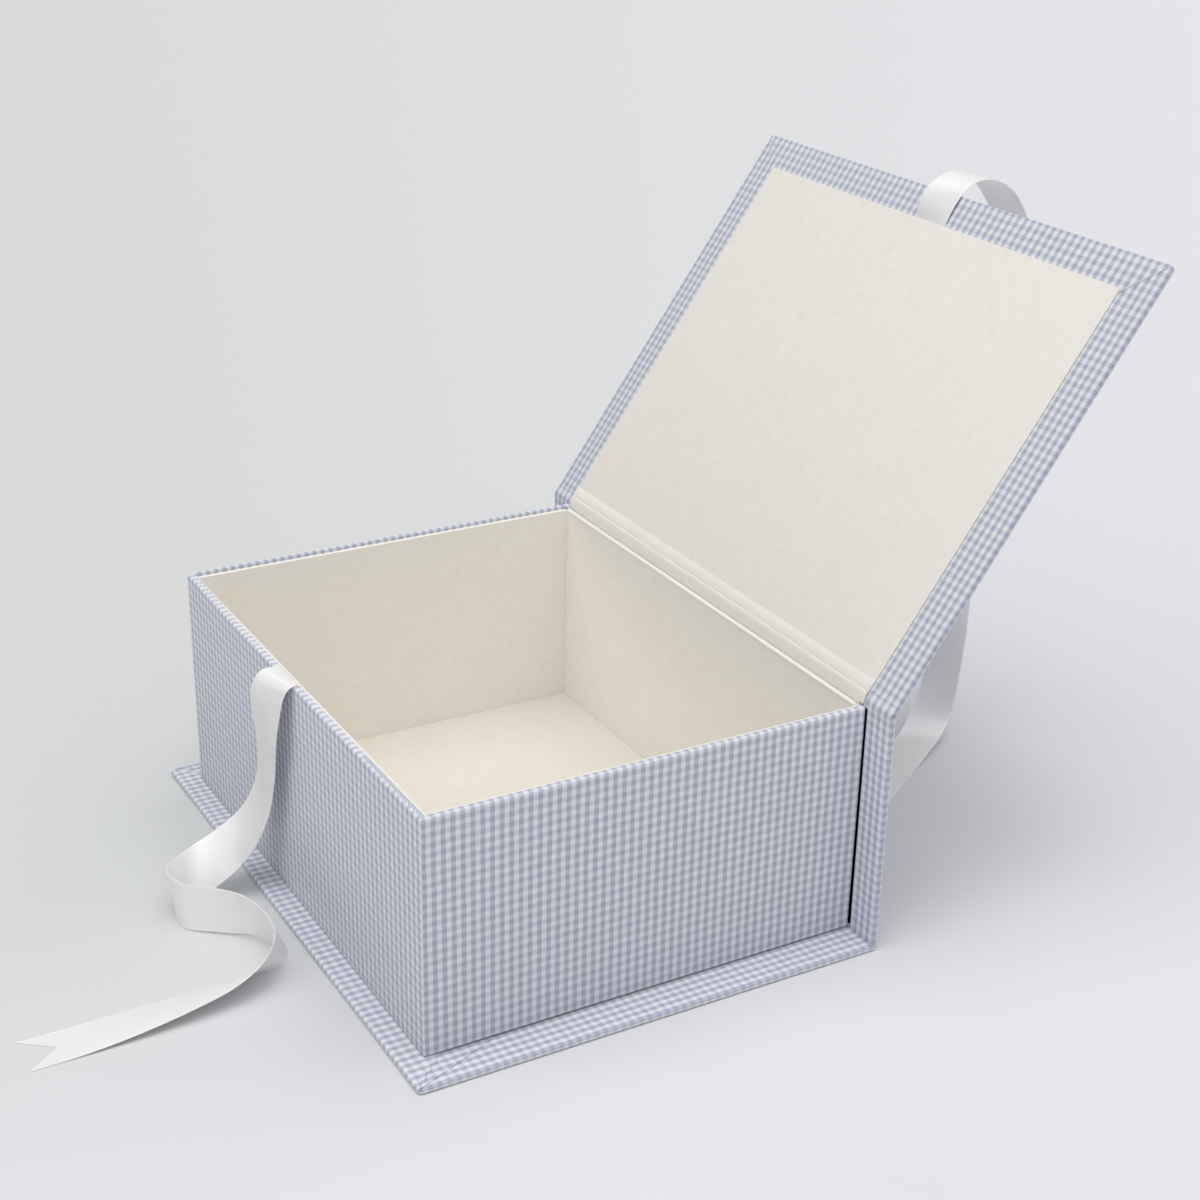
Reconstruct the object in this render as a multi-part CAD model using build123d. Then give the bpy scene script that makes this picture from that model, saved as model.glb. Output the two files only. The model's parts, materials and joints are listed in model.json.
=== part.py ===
from build123d import *
import math
import os

os.makedirs("parts", exist_ok=True)

# Keepsake box bound like a book: a cloth-covered case of base, spine and lid round a lined tray.
# Millimetres, +Z up. The origin is the middle of the underside. X runs along the spine,
# the front is -Y, and the lid is modelled open, as far back as it goes.

# Tray, measured over its cloth
tray_width = 315.0
tray_depth = 250.0
tray_height = 131.5

# Case, round the tray
side_ledge = 20.0
front_ledge = 12.0
spine_rise = 1.9
joint_setback = 5.3

# Boards, cloths and cards
case_board = 3.0
wall_board = 2.5
cloth = 0.4
lining_card = 0.7
lining_cloth = 0.4
liner_card = 1.0
case_turn_in = 32.0
tray_turn_in = 18.0
tray_turn_under = 15.0

# Lid, its liner and its opening
open_angle = 125.4
liner_side_margin = 20.5
liner_front_margin = 20.2
liner_back_margin = 2.5
closed_gap = 0.3
open_gap = 0.8
open_overhang = 0.4

# Lining fits
lining_gap = 0.05
lining_drop = 0.2
hinge_lining_inset = 1.0

# Ribbon ties
ribbon_width = 26.0
ribbon_thickness = 0.3
ribbon_tail = 30.0
ribbon_recess_gap = 0.05
ribbon_step = 7.0
front_ribbon_x = -8.7
lid_ribbon_x = 0.7
swallowtail = 17.0
swallowtail_tip = 0.3

# Sizes that follow from those above
case_thickness = case_board + 2 * cloth
case_width = tray_width + 2 * side_ledge
base_depth = front_ledge + tray_depth + case_thickness
base_front_y = -base_depth / 2
base_back_y = base_depth / 2
tray_front_y = base_front_y + front_ledge
tray_back_y = tray_front_y + tray_depth
tray_bottom_z = case_thickness
tray_top_z = tray_bottom_z + tray_height
spine_top_z = tray_top_z + spine_rise
liner_thickness = liner_card + lining_cloth
lid_back_y = base_back_y - joint_setback
closed_lid_z = tray_top_z + closed_gap + liner_thickness

# The lid turns about one line: it carries the lid's upper back corner from where it lies
# when closed to where it leans on the spine when open
closed_corner = Vector(0, lid_back_y, closed_lid_z + case_thickness)
open_corner = Vector(0, base_back_y + open_overhang, spine_top_z + open_gap)
corner_travel = open_corner - closed_corner
axis_offset = corner_travel.length / 2 / math.tan(math.radians(open_angle / 2))
axis_side = Vector(0, corner_travel.Z, -corner_travel.Y).normalized()
hinge_point = (closed_corner + open_corner) * 0.5 + axis_side * axis_offset
hinge_axis = Axis(hinge_point, (1, 0, 0))


def block(x0, x1, y0, y1, z0, z1):
    """A box between two corners."""
    middle = ((x0 + x1) / 2, (y0 + y1) / 2, (z0 + z1) / 2)
    return Pos(*middle) * Box(x1 - x0, y1 - y0, z1 - z0)


def opened(solid):
    """Turns a piece of the closed lid back to where the lid leans open."""
    return solid.rotate(hinge_axis, -open_angle)


def single(shape):
    """The one solid of a shape."""
    solids = shape.solids()
    assert len(solids) == 1, "a piece fell into several solids"
    return solids[0]


parts = {}


def add(name, shape):
    parts[name] = single(shape)


# Case boards and the cloth that wraps each of them, turned in over its edges
def covered_board(name, x0, x1, y0, y1, z0, z1, open_face):
    """A board with its cloth. The cloth is glued all over one face and turned in on the other."""
    core = block(x0 + cloth, x1 - cloth, y0 + cloth, y1 - cloth, z0 + cloth, z1 - cloth)
    wrap = block(x0, x1, y0, y1, z0, z1) - core
    t = case_turn_in
    if open_face == "top":
        window = block(x0 + t, x1 - t, y0 + t, y1 - t, z1 - cloth, z1)
    elif open_face == "under":
        window = block(x0 + t, x1 - t, y0 + t, y1 - t, z0, z0 + cloth)
    else:
        window = block(x0 + t, x1 - t, y0, y0 + cloth, z0 + t, z1 - t)
    return {name + "_board": core, name + "_cloth": wrap - window}


half_case = case_width / 2
base = covered_board(
    "base", -half_case, half_case, base_front_y, base_back_y, 0, case_thickness, "top"
)
spine = covered_board(
    "spine", -half_case, half_case, tray_back_y, base_back_y, case_thickness, spine_top_z, "front"
)
closed_top_z = closed_lid_z + case_thickness
lid = covered_board(
    "lid", -half_case, half_case, base_front_y, lid_back_y, closed_lid_z, closed_top_z, "under"
)
for name, solid in {**base, **spine}.items():
    add(name, solid)
for name, solid in lid.items():
    add(name, opened(solid))

# Tray boards: a floor inside four walls, the front and back walls running the whole width
half_tray = tray_width / 2
board_x = half_tray - cloth
board_front_y = tray_front_y + cloth
board_back_y = tray_back_y - cloth
board_bottom_z = tray_bottom_z + cloth
board_top_z = tray_top_z - cloth
inner_x = board_x - wall_board
inner_front_y = board_front_y + wall_board
inner_back_y = board_back_y - wall_board
floor_top_z = board_bottom_z + wall_board

add("tray_floor_board", block(-inner_x, inner_x, inner_front_y, inner_back_y, board_bottom_z, floor_top_z))
add("tray_front_board", block(-board_x, board_x, board_front_y, inner_front_y, board_bottom_z, board_top_z))
add("tray_back_board", block(-board_x, board_x, inner_back_y, board_back_y, board_bottom_z, board_top_z))
add("tray_left_board", block(-board_x, -inner_x, inner_front_y, inner_back_y, board_bottom_z, board_top_z))
add("tray_right_board", block(inner_x, board_x, inner_front_y, inner_back_y, board_bottom_z, board_top_z))


# Tray cloth: one strip round the four walls, over their top edges, and under the tray
card_x = inner_x - cloth
card_front_y = inner_front_y + cloth
card_back_y = inner_back_y - cloth
under = tray_turn_under
sleeve = block(-half_tray, half_tray, tray_front_y, tray_back_y, tray_bottom_z, tray_top_z)
boards = block(-board_x, board_x, board_front_y, board_back_y, board_bottom_z, board_top_z)
mouth = block(-card_x, card_x, card_front_y, card_back_y, board_bottom_z, tray_top_z)
turn_in = block(-inner_x, inner_x, inner_front_y, inner_back_y, tray_top_z - tray_turn_in, board_top_z)
underside_window = block(
    -half_tray + under,
    half_tray - under,
    tray_front_y + under,
    tray_back_y - under,
    tray_bottom_z,
    board_bottom_z,
)
add("tray_cloth", sleeve - boards - mouth - underside_window + (turn_in - mouth))

# Linings: a card covered with cream cloth on each wall, inside the turned-in gingham
cloth_x = card_x - lining_card
cloth_front_y = card_front_y + lining_card
cloth_back_y = card_back_y - lining_card
face_x = cloth_x - lining_cloth
face_front_y = cloth_front_y + lining_cloth
face_back_y = cloth_back_y - lining_cloth
lining_bottom_z = floor_top_z
lining_top_z = tray_top_z - lining_drop
lining_card_top_z = lining_top_z - lining_cloth
side_end_front_y = face_front_y + lining_gap
side_end_back_y = face_back_y - lining_gap


def ribbon_recess(x_middle, y0, y1, z0, z1):
    """The room pressed into a card by the ribbon end glued behind it."""
    half = ribbon_width / 2 + ribbon_recess_gap
    return block(x_middle - half, x_middle + half, y0, y1, z0, z1)


def wall_lining(name, x0, x1, y0, y1, into_x, into_y):
    """A lining card with cloth over its face and top edge. into_x and into_y point into the tray."""
    shift_x = into_x * lining_cloth
    shift_y = into_y * lining_cloth
    card = block(x0, x1, y0, y1, lining_bottom_z, lining_card_top_z)
    cover = block(
        min(x0, x0 + shift_x),
        max(x1, x1 + shift_x),
        min(y0, y0 + shift_y),
        max(y1, y1 + shift_y),
        lining_bottom_z,
        lining_top_z,
    )
    return {"lining_" + name + "_card": card, "lining_" + name + "_cloth": cover - card}


recess_depth = ribbon_thickness + 2 * ribbon_recess_gap
front_tail_z = tray_top_z - ribbon_tail - ribbon_recess_gap
front_recess = ribbon_recess(
    front_ribbon_x, card_front_y, card_front_y + recess_depth, front_tail_z, tray_top_z
)
front_lining = wall_lining("front", -card_x, card_x, card_front_y, cloth_front_y, 0, 1)
back_lining = wall_lining("back", -card_x, card_x, cloth_back_y, card_back_y, 0, -1)
left_lining = wall_lining("left", -card_x, -cloth_x, side_end_front_y, side_end_back_y, 1, 0)
right_lining = wall_lining("right", cloth_x, card_x, side_end_front_y, side_end_back_y, -1, 0)
for lining in (front_lining, back_lining, left_lining, right_lining):
    for name, solid in lining.items():
        add(name, solid - front_recess)

floor_x = face_x - lining_gap
floor_front_y = face_front_y + lining_gap
floor_back_y = face_back_y - lining_gap
floor_card_z = floor_top_z + lining_card
add("lining_floor_card", block(-floor_x, floor_x, floor_front_y, floor_back_y, floor_top_z, floor_card_z))
add(
    "lining_floor_cloth",
    block(-floor_x, floor_x, floor_front_y, floor_back_y, floor_card_z, floor_card_z + lining_cloth),
)

# Lid liner: a thicker card with cream cloth over its face and edges, glued inside the turn-ins
liner_x = half_case - liner_side_margin
liner_front_y = base_front_y + liner_front_margin
liner_back_y = lid_back_y - liner_back_margin
liner_face_z = closed_lid_z - liner_thickness
liner_whole = block(-liner_x, liner_x, liner_front_y, liner_back_y, liner_face_z, closed_lid_z)
liner_card_block = block(
    -liner_x + lining_cloth,
    liner_x - lining_cloth,
    liner_front_y + lining_cloth,
    liner_back_y - lining_cloth,
    closed_lid_z - liner_card,
    closed_lid_z,
)
lid_recess_y = liner_front_y + ribbon_tail + ribbon_recess_gap
lid_recess = ribbon_recess(
    lid_ribbon_x, liner_front_y, lid_recess_y, closed_lid_z - recess_depth, closed_lid_z
)
add("lid_liner_card", opened(liner_card_block - lid_recess))
add("lid_liner_cloth", opened(liner_whole - liner_card_block - lid_recess))


# Hinge strips: gingham tucked between spine and lid outside, cream cloth across the joint inside
def strip(points, thickness, half_length):
    """A strip along X whose section follows the given (y, z) points, offset to their left."""
    line = [Vector(-half_length, y, z) for y, z in points]
    runs = [(b - a).normalized() for a, b in zip(line, line[1:])]
    offset = []
    for point, before, after in zip(line, runs[:1] + runs, runs + runs[-1:]):
        middle = (before + after).normalized()
        side = Vector(0, -middle.Z, middle.Y)
        offset.append(point + side * (thickness / side.dot(Vector(0, -before.Z, before.Y))))
    outline = Wire.make_polygon(line + offset[::-1], close=True)
    return Solid.extrude(Face(outline), Vector(2 * half_length, 0, 0))


def lid_point(from_back, from_inner):
    """(y, z) of a point of the open lid: its distance from the back edge and above the inner face."""
    closed = Vector(0, lid_back_y - from_back, closed_lid_z + from_inner)
    turned = hinge_point + (closed - hinge_point).rotate(Axis.X, -open_angle)
    return (turned.Y, turned.Z)


tuck_depth = joint_setback / 2
lid_back_gap = 0.1
hinge_cloth_points = [
    lid_point(-lid_back_gap, case_thickness - lid_back_gap),
    lid_point(-lid_back_gap, case_thickness - tuck_depth),
    (base_back_y - tuck_depth, spine_top_z),
    (base_back_y - lid_back_gap, spine_top_z),
]
add("hinge_cloth", strip(hinge_cloth_points, cloth, half_case - cloth))
hinge_lining_points = [
    (face_back_y, tray_top_z),
    (tray_back_y, tray_top_z),
    (tray_back_y, spine_top_z),
    lid_point(0, 0),
    lid_point(liner_back_margin - lining_gap, 0),
]
add("hinge_lining", strip(hinge_lining_points, lining_cloth, face_x - hinge_lining_inset))


# Ribbon ties: thin satin bands that hang and lie as they fell when the box was opened
def ribbon(tail, free):
    """A band with a swallowtail end. Each station is a centre point and the direction across.

    The tail's stations are joined by flat lengths and the free ones by smooth edge curves."""
    reach = [0.0]
    for i in range(1, len(free)):
        reach.append(reach[-1] + (Vector(free[i][0]) - Vector(free[i - 1][0])).length)
    shares = [r / reach[-1] for r in reach]
    edges = []
    for side in (-1, 1):
        points = [Vector(c) + Vector(w).normalized() * (side * ribbon_width / 2) for c, w in free]
        edges.append(Edge.make_spline(points, parameters=shares))
    cuts = [0.0]
    for i in range(1, len(free)):
        count = math.ceil((reach[i] - reach[i - 1]) / ribbon_step)
        cuts += [shares[i - 1] + (shares[i] - shares[i - 1]) * (k + 1) / count for k in range(count)]
    stations = [(Vector(c), Vector(w).normalized()) for c, w in tail]
    for cut in cuts:
        left, right = [edge.position_at(cut, position_mode=PositionMode.PARAMETER) for edge in edges]
        stations.append(((left + right) * 0.5, (right - left).normalized()))
    sections = []
    for i, (centre, across) in enumerate(stations):
        before = (centre - stations[max(i - 1, 0)][0]).normalized() if i else Vector(0, 0, 0)
        after = stations[min(i + 1, len(stations) - 1)][0] - centre
        after = after.normalized() if after.length else Vector(0, 0, 0)
        up = (before + after).cross(across).normalized() * (ribbon_thickness / 2)
        half = across * (ribbon_width / 2)
        sections.append([centre - half + up, centre + half + up, centre + half - up, centre - half - up])
    faces = [Face(Wire.make_polygon(section, close=True)) for section in (sections[0], sections[-1])]
    for near, far in zip(sections, sections[1:]):
        for k in range(4):
            j = (k + 1) % 4
            faces.append(Face.make_bezier_surface([[near[k], near[j]], [far[k], far[j]]]))
    band = Solid(Shell(faces))
    end, across = stations[-1]
    back = (stations[-2][0] - end).normalized()
    end_plane = Plane(origin=end, x_dir=across, z_dir=across.cross(back))
    half_notch = ribbon_width / 2 - swallowtail_tip
    notch = Polyline((-half_notch, 0), (half_notch, 0), (0, swallowtail), close=True)
    return band - extrude(end_plane * make_face(notch), amount=swallowtail / 2, both=True)


# Front ribbon: glued behind the front lining, it folds over the wall, falls with a half turn to
# the table, runs there and back on its edge, and lies flat out to the front. Y is from the tray.
ribbon_offset = ribbon_recess_gap + ribbon_thickness / 2
front_fold = [
    (math.cos(math.radians(a)) * ribbon_offset, math.sin(math.radians(a)) * ribbon_offset)
    for a in (0, 30, 60)
]
front_tail = [((front_ribbon_x, card_front_y + ribbon_offset, tray_top_z - ribbon_tail), (-1, 0, 0))]
for y, z in front_fold:
    front_tail.append(((front_ribbon_x, card_front_y + y, tray_top_z + z), (-1, 0, 0)))
front_start = ((front_ribbon_x, card_front_y, tray_top_z + ribbon_offset), (-1, 0, 0))
front_course = [
    ((-8.7, 0.2, 135.8), (-1.00, -0.02, 0.01)),
    ((-8.6, -2.7, 135.7), (-0.99, -0.07, 0.05)),
    ((-8.5, -5.8, 134.2), (-0.98, -0.12, 0.11)),
    ((-8.6, -8.2, 131.0), (-0.97, -0.18, 0.17)),
    ((-9.6, -10.1, 124.0), (-0.94, -0.23, 0.23)),
    ((-12.8, -10.3, 109.1), (-0.96, -0.13, 0.24)),
    ((-20.2, -7.7, 82.0), (-0.96, 0.02, 0.26)),
    ((-28.1, -9.1, 54.7), (-0.96, 0.06, 0.28)),
    ((-33.6, -15.2, 37.9), (-0.94, -0.03, 0.33)),
    ((-35.9, -20.7, 30.6), (-0.91, -0.13, 0.40)),
    ((-37.6, -27.4, 24.4), (-0.83, -0.24, 0.50)),
    ((-38.4, -35.1, 19.5), (-0.71, -0.33, 0.63)),
    ((-37.8, -43.4, 15.9), (-0.54, -0.38, 0.76)),
    ((-35.3, -51.7, 13.8), (-0.35, -0.35, 0.87)),
    ((-29.9, -59.0, 13.3), (-0.19, -0.22, 0.96)),
    ((-21.7, -62.6, 13.4), (-0.10, -0.06, 0.99)),
    ((-12.6, -61.2, 13.7), (-0.10, 0.02, 0.99)),
    ((1.1, -48.4, 14.6), (-0.09, 0.00, 1.00)),
    ((14.5, -35.4, 15.2), (0.04, -0.15, 0.99)),
    ((22.5, -30.7, 15.4), (0.11, -0.27, 0.95)),
    ((31.3, -27.6, 15.2), (0.14, -0.37, 0.92)),
    ((40.6, -27.0, 14.4), (0.16, -0.38, 0.91)),
    ((48.4, -30.3, 13.0), (0.28, -0.24, 0.93)),
    ((53.0, -37.3, 11.3), (0.52, -0.07, 0.85)),
    ((55.5, -45.6, 9.1), (0.73, 0.02, 0.68)),
    ((57.1, -54.4, 7.3), (0.84, 0.06, 0.54)),
    ((58.4, -63.4, 6.0), (0.90, 0.06, 0.43)),
    ((59.9, -82.1, 4.2), (0.95, 0.04, 0.29)),
    ((60.8, -101.0, 2.7), (0.98, 0.02, 0.18)),
    ((61.4, -124.5, 1.3), (1.00, 0.01, 0.07)),
    ((61.6, -148.0, 0.4), (1.00, 0.00, 0.01)),
    ((61.7, -167.0, 0.3), (1.00, 0.00, 0.00)),
]
front_free = [front_start] + [((x, tray_front_y + y, z), w) for (x, y, z), w in front_course]
add("front_ribbon", ribbon(front_tail, front_free))

# Lid ribbon: glued under the liner's front edge, it arches over the lid's edge, hangs clear of
# the lid with a slow turn, and lies down on the table toward the box. Y is from the tray.
lid_start_y, lid_start_z = lid_point(lid_back_y - liner_front_y, -ribbon_offset)
lid_tail_y, lid_tail_z = lid_point(lid_back_y - liner_front_y - ribbon_tail, -ribbon_offset)
lid_course = [
    ((0.8, 392.9, 343.7), (1.00, 0.06, -0.03)),
    ((0.6, 397.8, 351.6), (0.99, 0.10, -0.04)),
    ((0.1, 404.8, 357.4), (1.00, 0.07, 0.00)),
    ((-0.4, 413.4, 360.2), (1.00, 0.07, -0.01)),
    ((-1.1, 422.4, 359.8), (1.00, 0.07, 0.00)),
    ((-1.8, 430.7, 356.4), (0.99, 0.10, 0.04)),
    ((-2.3, 437.9, 350.9), (0.98, 0.15, 0.10)),
    ((-2.5, 449.0, 336.7), (0.97, 0.17, 0.13)),
    ((-1.8, 456.0, 320.0), (0.99, 0.10, 0.10)),
    ((0.5, 456.4, 293.2), (0.99, 0.12, 0.06)),
    ((3.2, 448.5, 267.5), (0.94, 0.33, -0.01)),
    ((5.5, 440.0, 242.0), (0.85, 0.52, -0.09)),
    ((5.6, 435.2, 215.1), (0.77, 0.63, -0.10)),
    ((2.0, 435.4, 188.1), (0.70, 0.71, -0.09)),
    ((-8.6, 440.7, 154.0), (0.58, 0.81, -0.02)),
    ((-18.8, 446.6, 119.9), (0.50, 0.86, 0.03)),
    ((-21.8, 449.6, 84.1), (0.69, 0.72, 0.03)),
    ((-17.9, 446.6, 48.6), (0.92, 0.38, 0.08)),
    ((-14.8, 442.4, 31.3), (0.94, 0.33, 0.10)),
    ((-10.2, 434.6, 16.6), (0.89, 0.45, 0.04)),
    ((-2.6, 421.2, 6.6), (0.88, 0.47, 0.06)),
    ((5.9, 405.7, 2.4), (0.87, 0.47, 0.10)),
    ((14.7, 390.2, 0.8), (0.86, 0.51, 0.02)),
    ((33.7, 359.2, 0.3), (0.85, 0.53, 0.00)),
    ((59.0, 318.2, 0.3), (0.85, 0.53, 0.00)),
]
lid_tail = [((lid_ribbon_x, lid_tail_y, lid_tail_z), (1, 0, 0))]
lid_free = [((lid_ribbon_x, lid_start_y, lid_start_z), (1, 0, 0))]
lid_free += [((x, tray_front_y + y, z), w) for (x, y, z), w in lid_course]
add("lid_ribbon", ribbon(lid_tail, lid_free))


for old in os.listdir("parts"):
    if old.endswith(".step"):
        os.remove(os.path.join("parts", old))
for name, solid in parts.items():
    export_step(solid, "parts/" + name + ".step")
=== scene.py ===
import math

import bpy
from mathutils import Matrix, Vector
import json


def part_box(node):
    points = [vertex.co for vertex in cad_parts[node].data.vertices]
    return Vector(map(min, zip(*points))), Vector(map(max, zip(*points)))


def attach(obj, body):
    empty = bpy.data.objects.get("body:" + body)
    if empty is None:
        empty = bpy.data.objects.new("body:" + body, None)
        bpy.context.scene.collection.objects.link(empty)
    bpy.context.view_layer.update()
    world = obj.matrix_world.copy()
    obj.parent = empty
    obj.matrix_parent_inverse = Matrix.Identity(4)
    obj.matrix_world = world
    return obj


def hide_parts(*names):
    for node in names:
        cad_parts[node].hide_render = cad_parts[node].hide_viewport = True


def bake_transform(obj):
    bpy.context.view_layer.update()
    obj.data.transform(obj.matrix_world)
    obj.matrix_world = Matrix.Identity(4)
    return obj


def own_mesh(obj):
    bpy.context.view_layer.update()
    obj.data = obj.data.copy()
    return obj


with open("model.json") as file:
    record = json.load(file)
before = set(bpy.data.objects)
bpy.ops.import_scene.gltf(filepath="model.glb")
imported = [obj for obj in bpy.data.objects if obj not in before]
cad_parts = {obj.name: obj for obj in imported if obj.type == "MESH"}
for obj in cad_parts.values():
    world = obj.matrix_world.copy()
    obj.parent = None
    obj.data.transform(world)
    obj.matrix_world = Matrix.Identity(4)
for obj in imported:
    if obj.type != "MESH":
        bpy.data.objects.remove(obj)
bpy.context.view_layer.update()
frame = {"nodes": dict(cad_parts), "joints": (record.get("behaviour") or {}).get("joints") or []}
bpy.context.scene.view_settings.view_transform = "Standard"
MM = 0.001

# Boards
# Stiff greyboard under the cloth of the case and the tray: pressed grey paper fibre, cut square.
# The glue and the stretched cloth press its edges a little round, so that no board cuts through.


def colour(code):
    """Linear RGBA of an sRGB hex colour."""
    parts = [int(code[i : i + 2], 16) / 255 for i in (0, 2, 4)]
    return [p / 12.92 if p <= 0.04045 else ((p + 0.055) / 1.055) ** 2.4 for p in parts] + [1.0]


def add(tree, kind, links, **settings):
    """Adds a node. links gives each input, by name or place, a value or another node's output."""
    node = tree.nodes.new("ShaderNode" + kind)
    for name, value in settings.items():
        setattr(node, name, value)
    for key, value in links.items():
        if isinstance(value, bpy.types.NodeSocket):
            tree.links.new(value, node.inputs[key])
        else:
            node.inputs[key].default_value = value
    return node


def new_material(name, **sockets):
    """A material with its shader. sockets sets the shader's plain values."""
    material = bpy.data.materials.new(name)
    material.use_nodes = True
    shader = material.node_tree.nodes["Principled BSDF"]
    for socket, value in sockets.items():
        shader.inputs[socket.replace("_", " ")].default_value = value
    return material, material.node_tree, shader


def pressed_fibre(name, dark, light):
    """Pressed paper fibre: dull and even, with specks of darker fibre under a millimetre long."""
    material, tree, shader = new_material(name, Roughness=0.92)
    place = add(tree, "TexCoord", {}).outputs["Object"]
    specks = add(tree, "TexNoise", {"Vector": place, "Scale": 1400.0, "Detail": 4.0})
    shades = add(tree, "ValToRGB", {"Fac": specks.outputs["Fac"]})
    shades.color_ramp.elements[0].color = colour(dark)
    shades.color_ramp.elements[0].position = 0.35
    shades.color_ramp.elements[1].color = colour(light)
    shades.color_ramp.elements[1].position = 0.62
    tree.links.new(shades.outputs["Color"], shader.inputs["Base Color"])
    bump = add(tree, "Bump", {"Height": specks.outputs["Fac"], "Strength": 0.3, "Distance": 0.0001})
    tree.links.new(bump.outputs["Normal"], shader.inputs["Normal"])
    return material


greyboard = pressed_fibre("pressed greyboard", "7E7A72", "A8A49B")


def block(name, low, high):
    """A block between two corners given in millimetres, with its place in its mesh."""
    bpy.ops.object.select_all(action="DESELECT")
    middle = [(a + b) / 2 * MM for a, b in zip(low, high)]
    bpy.ops.mesh.primitive_cube_add(size=1, location=middle)
    piece = bpy.context.active_object
    piece.name = name
    piece.scale = [(b - a) * MM for a, b in zip(low, high)]
    bpy.ops.object.transform_apply(location=True, rotation=True, scale=True)
    return piece


def pick(piece, kind, chosen):
    """Goes into edit mode with the chosen edges or faces selected. Millimetres."""
    bpy.ops.object.select_all(action="DESELECT")
    piece.select_set(True)
    bpy.context.view_layer.objects.active = piece
    bpy.ops.object.mode_set(mode="EDIT")
    bpy.ops.mesh.select_mode(type=kind)
    bpy.ops.mesh.select_all(action="DESELECT")
    bpy.ops.object.mode_set(mode="OBJECT")
    corners = [v.co / MM for v in piece.data.vertices]
    if kind == "EDGE":
        for edge in piece.data.edges:
            a, b = (corners[i] for i in edge.vertices)
            edge.select = chosen((a + b) / 2, (b - a).normalized())
    else:
        for face in piece.data.polygons:
            face.select = chosen(face.center / MM, face.normal)
    bpy.ops.object.mode_set(mode="EDIT")


def round_edges(piece, radius, chosen, segments=4):
    """Rounds the edges that chosen picks by their middle and direction. Millimetres."""
    pick(piece, "EDGE", chosen)
    bpy.ops.mesh.bevel(offset=radius * MM, segments=segments, affect="EDGES")
    bpy.ops.object.mode_set(mode="OBJECT")


def finish(piece, material, body, *nodes):
    """Gives a piece its material, smooth edges and, but for a blended one, its body."""
    piece.data.materials.clear()
    piece.data.materials.append(material)
    bpy.ops.object.select_all(action="DESELECT")
    piece.select_set(True)
    bpy.context.view_layer.objects.active = piece
    bpy.ops.object.shade_smooth_by_angle(angle=math.radians(38))
    if body:
        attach(piece, body)
    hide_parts(*nodes)


PRESSED_EDGE = 0.8
for name in ("base", "spine", "tray_floor", "tray_front", "tray_back", "tray_left", "tray_right"):
    low, high = (Vector(corner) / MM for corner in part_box(name + "_board"))
    # A little thinner than the solid, and smaller still across, to lie inside the cloth
    pressed = Vector([0.25 if b - a > 5 else 0.15 for a, b in zip(low, high)])
    board = block(name + "_greyboard", low + pressed, high - pressed)
    round_edges(board, PRESSED_EDGE, lambda middle, along: True, 2)
    if name.startswith("tray"):
        # The tray's walls lean in at the foot, as its cloth does
        for corner in board.data.vertices:
            if corner.co.z < 20 * MM:
                corner.co.x -= math.copysign(0.8 * MM, corner.co.x)
                corner.co.y += 0.6 * MM * (corner.co.y < 0)
    finish(board, greyboard, "box", name + "_board")

# Base
# One sheet of cotton gingham, backed with paper, is glued over the base board's underside and
# turned in over its edges. The sides are turned in first. The front turn-in lies over them, so
# its slanted ends make the thin mitre lines on the ledges and stand a cloth's thickness proud.
CASE_SIDE, CASE_FRONT, CASE_BACK = 177.5, -132.9, 132.9
BASE_LEFT, BASE_RIGHT, BASE_FOOT = -177.6, 177.9, 0.6
LEDGE, TURN_IN_TOP = 3.35, 3.8
# A turn-in lies this much outside the cloth that it is glued over
SKIN = 0.02
EDGE_RADIUS, CORNER_RADIUS = 1.0, 2.2
# Each mitre line runs from the corner to the tray, this far in and this far back
MITRE_IN, MITRE_BACK = 20.0, 48.3
# One blue and one white stripe, as the cloth is drawn.
CHECK = 5.2


def woven_relief(tree, shader, cloth, radians, yarns, thickness, strength):
    """Bump of a plain weave, and of its yarns where they are thicker.

    The weave is a wave of so many radians to the millimetre, with a thread to each half wave."""
    weave = add(tree, "VectorMath", {0: cloth, 1: (radians, radians, 0)}, operation="MULTIPLY")
    ribs = add(tree, "VectorMath", {0: weave.outputs[0]}, operation="SINE")
    pair = add(tree, "SeparateXYZ", {0: ribs.outputs[0]})
    knots = add(tree, "Math", {0: pair.outputs["X"], 1: pair.outputs["Y"]}, operation="MULTIPLY")
    relief = add(tree, "Math", {0: yarns, 1: thickness, 2: knots.outputs[0]}, operation="MULTIPLY_ADD")
    bump = add(tree, "Bump", {"Height": relief.outputs[0], "Strength": strength, "Distance": 0.00008})
    tree.links.new(bump.outputs["Normal"], shader.inputs["Normal"])


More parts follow.
